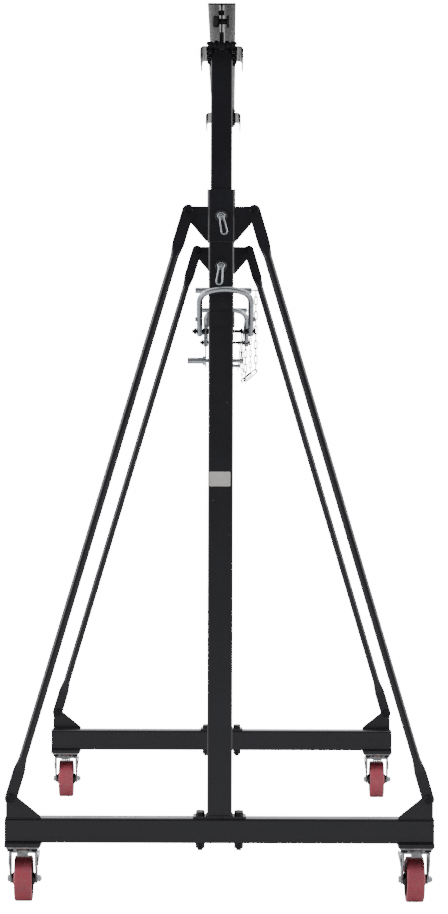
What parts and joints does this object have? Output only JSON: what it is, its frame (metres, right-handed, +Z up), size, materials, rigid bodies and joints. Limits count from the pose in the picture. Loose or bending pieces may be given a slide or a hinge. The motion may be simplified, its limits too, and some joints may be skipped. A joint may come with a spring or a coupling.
{
  "type": "gantry crane",
  "caption": "Portable gantry crane: two braced A-frames on swivel casters, telescoping pinned posts and an I-beam across their heads.",
  "frame": {"origin": "on the floor at the middle of the footprint, under the middle of the beam", "axes": "+Z up, +Y along the beam from the front frame to the rear frame, +X across the frames to the right seen from the front"},
  "size_m": [1.291, 2.82, 2.699],
  "materials": {
    "black_paint": "gloss",
    "end_cap_plastic": "satin",
    "dark_fasteners": "black oxide",
    "raceway": "yellow chromate",
    "bumper_rubber": "matte",
    "zinc": "bright zinc plate",
    "wheel_iron": "dark paint",
    "polyurethane": "satin moulded"
  },
  "bodies": {
    "stand": {"base_tubes": "black_paint", "base_gussets": "black_paint", "post_feet": "black_paint", "front_outer_post": "black_paint", "rear_outer_post": "black_paint", "collars": "black_paint", "collar_gussets": "black_paint", "braces": "black_paint", "pin_bushes": "black_paint", "caster_pads": "black_paint", "lift_brackets": "black_paint", "tube_end_caps": "end_cap_plastic", "foot_bolts": "dark_fasteners", "brace_bolts": "dark_fasteners", "swivel_races": "raceway", "caster_top_plates": "zinc", "caster_bolts": "zinc", "lift_side_plates": "zinc", "lift_bolts": "zinc", "lift_cross_tubes": "zinc", "lift_chains": "zinc"},
    "head": {"inner_posts": "black_paint", "saddles": "black_paint", "i_beam": "black_paint", "web_clips": "black_paint", "clamp_bolts": "dark_fasteners", "end_stop_bumpers": "bumper_rubber", "end_stop_bolts": "dark_fasteners"},
    "front_upper_pin": {"front_upper_lock_pin": "zinc"},
    "front_upper_loop": {"front_upper_pin_loop": "zinc"},
    "front_lower_pin": {"front_lower_lock_pin": "zinc"},
    "front_lower_loop": {"front_lower_pin_loop": "zinc"},
    "rear_upper_pin": {"rear_upper_lock_pin": "zinc"},
    "rear_upper_loop": {"rear_upper_pin_loop": "zinc"},
    "rear_lower_pin": {"rear_lower_lock_pin": "zinc"},
    "rear_lower_loop": {"rear_lower_pin_loop": "zinc"},
    "front_left_swivel": {"front_left_fork": "zinc", "front_left_axle": "zinc"},
    "front_left_wheel": {"front_left_wheel_core": "wheel_iron", "front_left_wheel_tread": "polyurethane"},
    "front_left_pedal": {"front_left_brake_pedal": "zinc"},
    "front_right_swivel": {"front_right_fork": "zinc", "front_right_axle": "zinc"},
    "front_right_wheel": {"front_right_wheel_core": "wheel_iron", "front_right_wheel_tread": "polyurethane"},
    "front_right_pedal": {"front_right_brake_pedal": "zinc"},
    "rear_left_swivel": {"rear_left_fork": "zinc", "rear_left_axle": "zinc"},
    "rear_left_wheel": {"rear_left_wheel_core": "wheel_iron", "rear_left_wheel_tread": "polyurethane"},
    "rear_left_pedal": {"rear_left_brake_pedal": "zinc"},
    "rear_right_swivel": {"rear_right_fork": "zinc", "rear_right_axle": "zinc"},
    "rear_right_wheel": {"rear_right_wheel_core": "wheel_iron", "rear_right_wheel_tread": "polyurethane"},
    "rear_right_pedal": {"rear_right_brake_pedal": "zinc"},
    "front_bail": {"front_bail": "zinc"},
    "front_crank": {"front_crank_shaft": "zinc"},
    "rear_bail": {"rear_bail": "zinc"},
    "rear_crank": {"rear_crank_shaft": "zinc"}
  },
  "joints": [
    {"name": "head_lift", "type": "slide", "parent": "stand", "child": "head", "axis": [0, 0, 1], "range_m": [0, 0.9]},
    {"name": "front_upper_pin_slide", "type": "slide", "parent": "stand", "child": "front_upper_pin", "axis": [0, -1, 0], "range_m": [0, 0.11]},
    {"name": "front_upper_loop_hinge", "type": "hinge", "parent": "front_upper_pin", "child": "front_upper_loop", "pos_m": [0, -1.3627, 2.067], "axis": [-0.9816, 0, -0.1908], "range_deg": [0, 95]},
    {"name": "front_lower_pin_slide", "type": "slide", "parent": "stand", "child": "front_lower_pin", "axis": [0, -1, 0], "range_m": [0, 0.11]},
    {"name": "front_lower_loop_hinge", "type": "hinge", "parent": "front_lower_pin", "child": "front_lower_loop", "pos_m": [0, -1.3627, 1.917], "axis": [-0.9936, 0, 0.1132], "range_deg": [0, 95]},
    {"name": "rear_upper_pin_slide", "type": "slide", "parent": "stand", "child": "rear_upper_pin", "axis": [0, -1, 0], "range_m": [0, 0.11]},
    {"name": "rear_upper_loop_hinge", "type": "hinge", "parent": "rear_upper_pin", "child": "rear_upper_loop", "pos_m": [0, 1.2373, 2.067], "axis": [-0.9816, 0, -0.1908], "range_deg": [0, 95]},
    {"name": "rear_lower_pin_slide", "type": "slide", "parent": "stand", "child": "rear_lower_pin", "axis": [0, -1, 0], "range_m": [0, 0.11]},
    {"name": "rear_lower_loop_hinge", "type": "hinge", "parent": "rear_lower_pin", "child": "rear_lower_loop", "pos_m": [0, 1.2373, 1.917], "axis": [-0.9936, 0, 0.1132], "range_deg": [0, 95]},
    {"name": "front_left_swivel_turn", "type": "hinge", "parent": "stand", "child": "front_left_swivel", "pos_m": [-0.591, -1.3, 0.15], "axis": [0, 0, 1], "continuous": true},
    {"name": "front_left_wheel_spin", "type": "hinge", "parent": "front_left_swivel", "child": "front_left_wheel", "pos_m": [-0.591, -1.262, 0.069], "axis": [1, 0, 0], "continuous": true},
    {"name": "front_left_pedal_tip", "type": "hinge", "parent": "front_left_swivel", "child": "front_left_pedal", "pos_m": [-0.591, -1.28, 0.124], "axis": [-1, 0, 0], "range_deg": [0, 12]},
    {"name": "front_right_swivel_turn", "type": "hinge", "parent": "stand", "child": "front_right_swivel", "pos_m": [0.591, -1.3, 0.15], "axis": [0, 0, 1], "continuous": true},
    {"name": "front_right_wheel_spin", "type": "hinge", "parent": "front_right_swivel", "child": "front_right_wheel", "pos_m": [0.58967, -1.26202, 0.069], "axis": [0.9994, 0.0349, 0], "continuous": true},
    {"name": "front_right_pedal_tip", "type": "hinge", "parent": "front_right_swivel", "child": "front_right_pedal", "pos_m": [0.5903, -1.28001, 0.124], "axis": [-0.9994, -0.0349, 0], "range_deg": [0, 12]},
    {"name": "rear_left_swivel_turn", "type": "hinge", "parent": "stand", "child": "rear_left_swivel", "pos_m": [-0.591, 1.3, 0.15], "axis": [0, 0, 1], "continuous": true},
    {"name": "rear_left_wheel_spin", "type": "hinge", "parent": "rear_left_swivel", "child": "rear_left_wheel", "pos_m": [-0.591, 1.338, 0.069], "axis": [1, 0, 0], "continuous": true},
    {"name": "rear_left_pedal_tip", "type": "hinge", "parent": "rear_left_swivel", "child": "rear_left_pedal", "pos_m": [-0.591, 1.32, 0.124], "axis": [-1, 0, 0], "range_deg": [0, 12]},
    {"name": "rear_right_swivel_turn", "type": "hinge", "parent": "stand", "child": "rear_right_swivel", "pos_m": [0.591, 1.3, 0.15], "axis": [0, 0, 1], "continuous": true},
    {"name": "rear_right_wheel_spin", "type": "hinge", "parent": "rear_right_swivel", "child": "rear_right_wheel", "pos_m": [0.591, 1.338, 0.069], "axis": [1, 0, 0], "continuous": true},
    {"name": "rear_right_pedal_tip", "type": "hinge", "parent": "rear_right_swivel", "child": "rear_right_pedal", "pos_m": [0.591, 1.32, 0.124], "axis": [-1, 0, 0], "range_deg": [0, 12]},
    {"name": "front_bail_hinge", "type": "hinge", "parent": "stand", "child": "front_bail", "pos_m": [0, -1.245, 1.724], "axis": [1, 0, 0], "range_deg": [0, 60]},
    {"name": "front_crank_turn", "type": "hinge", "parent": "stand", "child": "front_crank", "pos_m": [0, -1.245, 1.635], "axis": [1, 0, 0], "continuous": true},
    {"name": "rear_bail_hinge", "type": "hinge", "parent": "stand", "child": "rear_bail", "pos_m": [0, 1.355, 1.732], "axis": [1, 0, 0], "range_deg": [0, 60]},
    {"name": "rear_crank_turn", "type": "hinge", "parent": "stand", "child": "rear_crank", "pos_m": [0, 1.355, 1.643], "axis": [1, 0, 0], "continuous": true}
  ]
}
